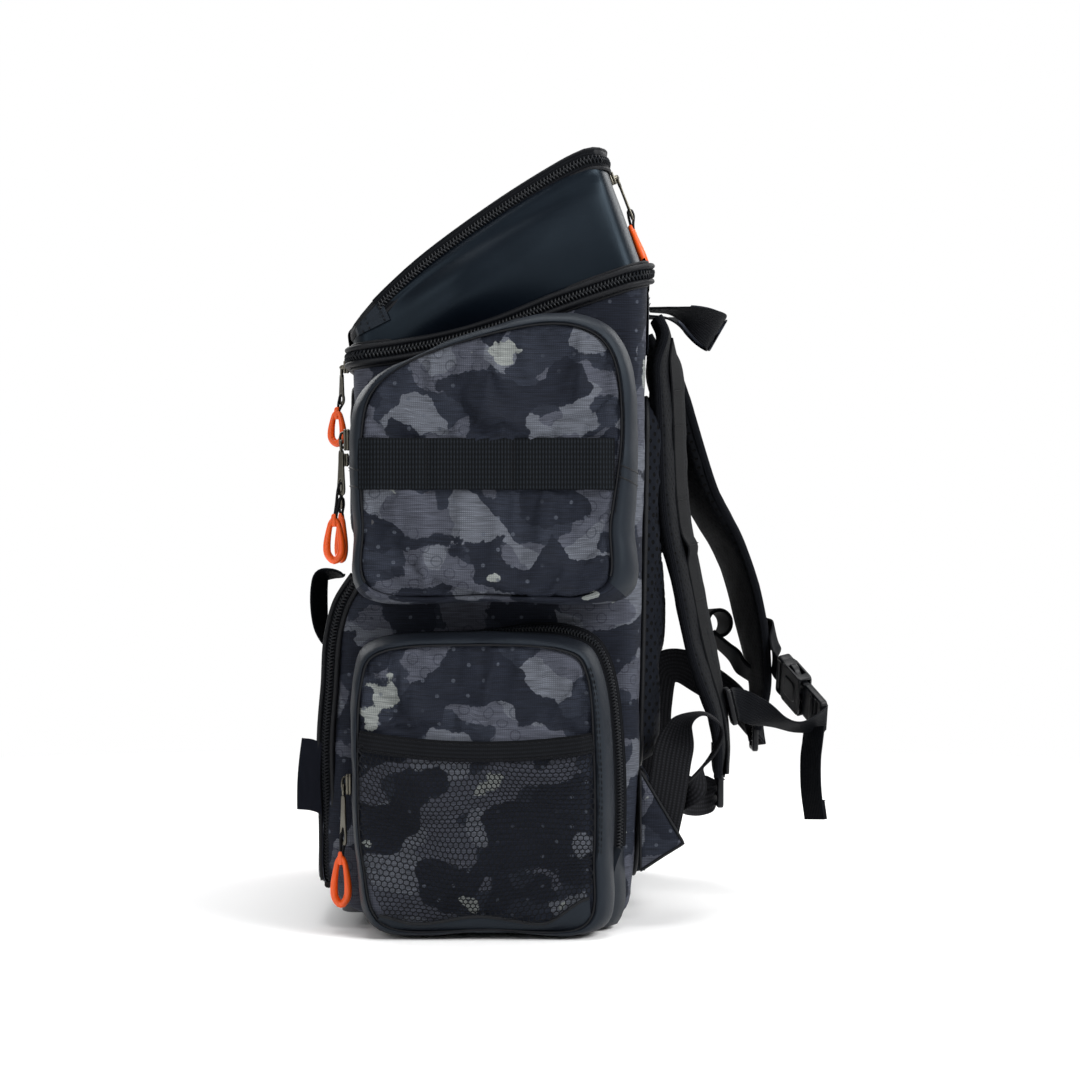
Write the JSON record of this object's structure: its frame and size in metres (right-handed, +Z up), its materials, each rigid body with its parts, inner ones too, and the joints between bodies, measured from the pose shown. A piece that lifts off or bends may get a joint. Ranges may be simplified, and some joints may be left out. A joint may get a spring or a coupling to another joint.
{
  "type": "tackle backpack",
  "caption": "Fishing tackle backpack with a fold-down tray door, a wedge-shaped top box, zipped side pockets with mesh sleeves, padded shoulder straps and a sternum buckle.",
  "frame": {"origin": "on the underside of the base panel, in the centre plane", "axes": "+Z up, -Y to the front with the tray door, +Y to the wearer, +X to the wearer's right"},
  "size_m": [0.3868, 0.3437, 0.4795],
  "materials": {
    "camo_ripstop": "woven ripstop with a printed dark grey camouflage, matt",
    "coated_fabric": "smooth coated fabric, soft sheen",
    "trim_fabric": "coated trim fabric, soft sheen",
    "black_webbing": "ribbed polyester webbing",
    "air_mesh": "open spacer mesh over foam",
    "pocket_mesh": "knitted hexagonal mesh with an elastic hem",
    "zip_tape": "coil zip tape and piping",
    "buckle_plastic": "moulded acetal, satin",
    "antique_metal": "antique plated zinc",
    "orange_rubber": "moulded rubber grip on a cord and metal tab",
    "liner_board": "stiffening board"
  },
  "bodies": {
    "bag": {"main_shell": "camo_ripstop", "divider_shelf": "liner_board", "frame_sheet": "liner_board", "base_panel": "trim_fabric", "main_zip_lower": "zip_tape", "front_pocket": "camo_ripstop", "upper_gusset_right": "trim_fabric", "upper_gusset_left": "trim_fabric", "lower_gusset_right": "trim_fabric", "lower_gusset_left": "trim_fabric", "back_pad": "air_mesh", "lumbar_pad": "air_mesh", "shoulder_strap_right": "air_mesh", "shoulder_strap_left": "air_mesh", "adjuster_web_right": "black_webbing", "adjuster_web_left": "black_webbing", "anchor_wing_right": "camo_ripstop", "anchor_wing_left": "camo_ripstop"},
    "top_box": {"top_box": "coated_fabric", "main_zip_upper": "zip_tape"},
    "top_lid": {"top_lid": "camo_ripstop"},
    "tray_door": {"tray_door": "camo_ripstop", "door_loop": "black_webbing", "label_tab": "black_webbing"},
    "upper_cover_right": {"upper_cover_right": "camo_ripstop", "molle_web_right": "black_webbing"},
    "upper_cover_left": {"upper_cover_left": "camo_ripstop", "molle_web_left": "black_webbing"},
    "lower_cover_right": {"lower_cover_right": "camo_ripstop", "mesh_pocket_right": "pocket_mesh"},
    "lower_cover_left": {"lower_cover_left": "camo_ripstop", "mesh_pocket_left": "pocket_mesh"},
    "handle": {"grab_handle": "black_webbing"},
    "sternum": {"sternum_clip_right": "buckle_plastic", "sternum_clip_left": "buckle_plastic", "sternum_web_right": "black_webbing", "sternum_web_left": "black_webbing", "buckle_female": "buckle_plastic"},
    "buckle_male": {"buckle_male": "buckle_plastic", "sternum_tail": "black_webbing"},
    "buckle_arm_upper": {"buckle_arm_upper": "buckle_plastic"},
    "buckle_arm_lower": {"buckle_arm_lower": "buckle_plastic"},
    "ladder_lock_right": {"ladder_lock_right": "buckle_plastic"},
    "ladder_lock_left": {"ladder_lock_left": "buckle_plastic"},
    "lid_slider": {"lid_slider": "antique_metal"},
    "lid_pull": {"lid_pull": "orange_rubber"},
    "main_slider": {"main_slider": "antique_metal"},
    "main_pull": {"main_pull": "orange_rubber"},
    "front_slider": {"front_slider": "antique_metal"},
    "front_pull": {"front_pull": "orange_rubber"},
    "door_slider": {"door_slider": "antique_metal"},
    "door_pull": {"door_pull": "orange_rubber"},
    "upper_right_slider": {"upper_right_slider": "antique_metal"},
    "upper_right_pull": {"upper_right_pull": "orange_rubber"},
    "upper_left_slider": {"upper_left_slider": "antique_metal"},
    "upper_left_pull": {"upper_left_pull": "orange_rubber"},
    "lower_right_slider": {"lower_right_slider": "antique_metal"},
    "lower_right_pull": {"lower_right_pull": "orange_rubber"},
    "lower_left_slider": {"lower_left_slider": "antique_metal"},
    "lower_left_pull": {"lower_left_pull": "orange_rubber"}
  },
  "joints": [
    {"name": "top_box_hinge", "type": "hinge", "parent": "bag", "child": "top_box", "pos_m": [0, 0.0978, 0.4048], "axis": [-1, 0, 0], "range_deg": [0, 95]},
    {"name": "top_lid_hinge", "type": "hinge", "parent": "top_box", "child": "top_lid", "pos_m": [0, -0.087, 0.368], "axis": [1, 0, 0], "range_deg": [0, 115]},
    {"name": "tray_door_hinge", "type": "hinge", "parent": "bag", "child": "tray_door", "pos_m": [0, -0.0986, 0.0238], "axis": [1, 0, 0], "range_deg": [0, 85]},
    {"name": "upper_cover_right_hinge", "type": "hinge", "parent": "bag", "child": "upper_cover_right", "pos_m": [0.19, 0, 0.204], "axis": [0, 1, 0], "range_deg": [0, 50]},
    {"name": "lower_cover_right_hinge", "type": "hinge", "parent": "bag", "child": "lower_cover_right", "pos_m": [0.1935, 0, 0.006], "axis": [0, 1, 0], "range_deg": [0, 45]},
    {"name": "upper_cover_left_hinge", "type": "hinge", "parent": "bag", "child": "upper_cover_left", "pos_m": [-0.19, 0, 0.204], "axis": [0, -1, 0], "range_deg": [0, 50]},
    {"name": "lower_cover_left_hinge", "type": "hinge", "parent": "bag", "child": "lower_cover_left", "pos_m": [-0.1935, 0, 0.006], "axis": [0, -1, 0], "range_deg": [0, 45]},
    {"name": "handle_hinge", "type": "hinge", "parent": "bag", "child": "handle", "pos_m": [0, 0.102, 0.3905], "axis": [-1, 0, 0], "range_deg": [-75, 55], "stiffness_Nm_per_rad": 0.6},
    {"name": "sternum_slide", "type": "slide", "parent": "bag", "child": "sternum", "axis": [0, 0.2201, -0.9755], "range_m": [-0.008, 0.008]},
    {"name": "buckle_slide", "type": "slide", "parent": "sternum", "child": "buckle_male", "axis": [0.7782, 0.3951, -0.4881], "range_m": [0, 0.01]},
    {"name": "buckle_arm_upper_flex", "type": "hinge", "parent": "buckle_male", "child": "buckle_arm_upper", "pos_m": [-0.00136, 0.20808, 0.14186], "axis": [0.3347, -0.9186, -0.2099], "range_deg": [0, 7], "stiffness_Nm_per_rad": 0.03},
    {"name": "buckle_arm_lower_flex", "type": "hinge", "parent": "buckle_male", "child": "buckle_arm_lower", "pos_m": [-0.01241, 0.20808, 0.12424], "axis": [-0.3347, 0.9186, 0.2099], "range_deg": [0, 7], "stiffness_Nm_per_rad": 0.03},
    {"name": "ladder_lock_right_tilt", "type": "hinge", "parent": "bag", "child": "ladder_lock_right", "pos_m": [0.078, 0.1445, 0.0908], "axis": [1, 0, 0], "range_deg": [0, 35]},
    {"name": "ladder_lock_left_tilt", "type": "hinge", "parent": "bag", "child": "ladder_lock_left", "pos_m": [-0.077, 0.179, 0.1145], "axis": [1, 0, 0], "range_deg": [0, 35]},
    {"name": "lid_slider_slide", "type": "slide", "parent": "top_box", "child": "lid_slider", "axis": [1, 0, 0], "range_m": [-0.2, 0]},
    {"name": "lid_pull_swing", "type": "hinge", "parent": "lid_slider", "child": "lid_pull", "pos_m": [0.1, 0.07846, 0.4678], "axis": [1, 0, 0], "range_deg": [0, 110]},
    {"name": "main_slider_slide", "type": "slide", "parent": "bag", "child": "main_slider", "axis": [1, 0, 0], "range_m": [-0.15, 0.06]},
    {"name": "main_pull_swing", "type": "hinge", "parent": "main_slider", "child": "main_pull", "pos_m": [0.045, -0.0993, 0.3515], "axis": [-1, 0, 0], "range_deg": [0, 120]},
    {"name": "front_slider_slide", "type": "slide", "parent": "bag", "child": "front_slider", "axis": [1, 0, 0], "range_m": [-0.16, 0]},
    {"name": "front_pull_swing", "type": "hinge", "parent": "front_slider", "child": "front_pull", "pos_m": [0.08, -0.097, 0.29], "axis": [-1, 0, 0], "range_deg": [0, 120]},
    {"name": "door_slider_slide", "type": "slide", "parent": "bag", "child": "door_slider", "axis": [0, 0, 1], "range_m": [0, 0.06]},
    {"name": "door_pull_swing", "type": "hinge", "parent": "door_slider", "child": "door_pull", "pos_m": [-0.14176, -0.10346, 0.103], "axis": [-0.8924, 0.4512, 0], "range_deg": [0, 120]},
    {"name": "upper_right_slider_slide", "type": "slide", "parent": "bag", "child": "upper_right_slider", "axis": [0, 0, 1], "range_m": [0, 0.015]},
    {"name": "upper_right_pull_swing", "type": "hinge", "parent": "upper_right_slider", "child": "upper_right_pull", "pos_m": [0.159, -0.0912, 0.3], "axis": [-1, 0, 0], "range_deg": [0, 120]},
    {"name": "lower_right_slider_slide", "type": "slide", "parent": "bag", "child": "lower_right_slider", "axis": [0, 0, 1], "range_m": [0, 0.055]},
    {"name": "lower_right_pull_swing", "type": "hinge", "parent": "lower_right_slider", "child": "lower_right_pull", "pos_m": [0.159, -0.0898, 0.09], "axis": [-1, 0, 0], "range_deg": [0, 120]},
    {"name": "upper_left_slider_slide", "type": "slide", "parent": "bag", "child": "upper_left_slider", "axis": [0, 0, 1], "range_m": [0, 0.015]},
    {"name": "upper_left_pull_swing", "type": "hinge", "parent": "upper_left_slider", "child": "upper_left_pull", "pos_m": [-0.159, -0.0912, 0.3], "axis": [-1, 0, 0], "range_deg": [0, 120]},
    {"name": "lower_left_slider_slide", "type": "slide", "parent": "bag", "child": "lower_left_slider", "axis": [0, 0, 1], "range_m": [0, 0.055]},
    {"name": "lower_left_pull_swing", "type": "hinge", "parent": "lower_left_slider", "child": "lower_left_pull", "pos_m": [-0.159, -0.0898, 0.09], "axis": [-1, 0, 0], "range_deg": [0, 120]}
  ],
  "couplings": [
    {"joint": "buckle_arm_lower_flex", "follows": "buckle_arm_upper_flex", "ratio": 1}
  ]
}
